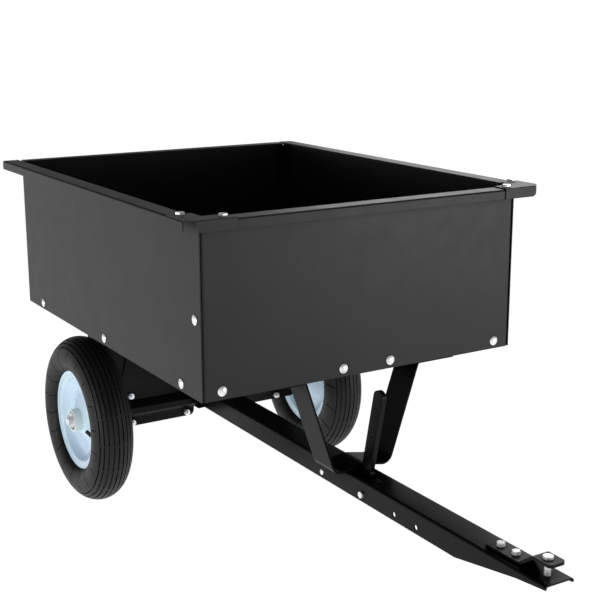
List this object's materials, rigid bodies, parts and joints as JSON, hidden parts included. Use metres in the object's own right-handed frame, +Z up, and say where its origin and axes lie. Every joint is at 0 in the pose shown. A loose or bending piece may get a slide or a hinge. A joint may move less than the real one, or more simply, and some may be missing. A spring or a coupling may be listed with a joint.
{
  "type": "tow behind cart",
  "caption": "Steel garden cart with a rolled-rim bed that tips about its axle, pneumatic wheels, channel tongue, latch lever and drop-pin hitch.",
  "frame": {"origin": "middle of the bounding box, on the ground", "axes": "+X forward to the hitch, +Y to the cart's left, +Z up"},
  "size_m": [1.545, 0.823, 0.8103],
  "materials": {
    "black_paint": "satin black powder coat",
    "black_gloss": "glossier black powder coat of the chassis pieces",
    "black_zinc": "black fasteners",
    "zinc": "bright zinc plate",
    "spring_steel": "bright wire",
    "tread_rubber": "moulded rubber",
    "soft_rubber": "smooth rubber",
    "rim_paint": "pale gloss enamel",
    "bearing_steel": "ground steel",
    "nylon": "moulded black nylon"
  },
  "bodies": {
    "tongue": {"tongue": "black_gloss", "stand_rest": "black_gloss", "pivot_bush_left": "nylon", "pivot_bush_right": "nylon", "hitch_bracket": "black_gloss", "hitch_bolts": "zinc", "hitch_washers": "zinc", "hitch_nuts": "zinc", "lever_pivot_bolt": "zinc", "lever_pivot_nut": "zinc", "lever_spacers": "zinc", "spring_anchor_bolt": "zinc", "spring_anchor_nut": "zinc", "lever_spring": "spring_steel"},
    "bed": {"axle": "black_paint", "axle_bracket_front_left": "black_gloss", "axle_bracket_front_right": "black_gloss", "axle_bracket_rear_left": "black_gloss", "axle_bracket_rear_right": "black_gloss", "bracket_floor_bolts": "black_zinc", "bracket_floor_nuts": "black_zinc", "clamp_bolts": "zinc", "clamp_nuts": "zinc", "corner_bolts": "zinc", "corner_bracket_left": "black_paint", "corner_bracket_right": "black_paint", "corner_nuts": "zinc", "floor_pan": "black_paint", "foot_bolts": "black_zinc", "foot_nuts": "black_zinc", "front_panel": "black_paint", "inner_washers": "zinc", "latch_stand": "black_gloss", "outer_washers": "zinc", "panel_bolts": "zinc", "panel_nuts": "zinc", "side_panel_left": "black_paint", "side_panel_right": "black_paint", "split_pins": "zinc", "tailgate_guide_left": "black_paint", "tailgate_guide_right": "black_paint"},
    "tailgate": {"tailgate": "black_paint"},
    "left_wheel": {"tyre_left": "tread_rubber", "inner_tube_left": "soft_rubber", "rim_outer_half_left": "rim_paint", "rim_inner_half_left": "rim_paint", "hub_left": "rim_paint", "bearings_left": "bearing_steel", "valve_stem_left": "soft_rubber"},
    "right_wheel": {"tyre_right": "tread_rubber", "inner_tube_right": "soft_rubber", "rim_outer_half_right": "rim_paint", "rim_inner_half_right": "rim_paint", "hub_right": "rim_paint", "bearings_right": "bearing_steel", "valve_stem_right": "soft_rubber"},
    "lever": {"latch_lever": "black_gloss"},
    "pin": {"hitch_pin": "zinc"}
  },
  "joints": [
    {"name": "bed_tip", "type": "hinge", "parent": "tongue", "child": "bed", "pos_m": [-0.52, 0, 0.2], "axis": [0, -1, 0], "range_deg": [0, 80]},
    {"name": "left_wheel_spin", "type": "hinge", "parent": "bed", "child": "left_wheel", "pos_m": [-0.52, 0.321, 0.2], "axis": [0, 1, 0], "continuous": true},
    {"name": "right_wheel_spin", "type": "hinge", "parent": "bed", "child": "right_wheel", "pos_m": [-0.52, -0.321, 0.2], "axis": [0, 1, 0], "continuous": true},
    {"name": "tailgate_slide", "type": "slide", "parent": "bed", "child": "tailgate", "axis": [0, 0, 1], "range_m": [0, 0.335]},
    {"name": "latch_swing", "type": "hinge", "parent": "tongue", "child": "lever", "pos_m": [0.234, 0, 0.206], "axis": [0, 1, 0], "range_deg": [0, 16], "stiffness_Nm_per_rad": 2, "springref_deg": -8.59, "deforming": ["lever_spring"]},
    {"name": "hitch_pin_lift", "type": "slide", "parent": "tongue", "child": "pin", "axis": [0, 0, 1], "range_m": [0, 0.07]}
  ]
}
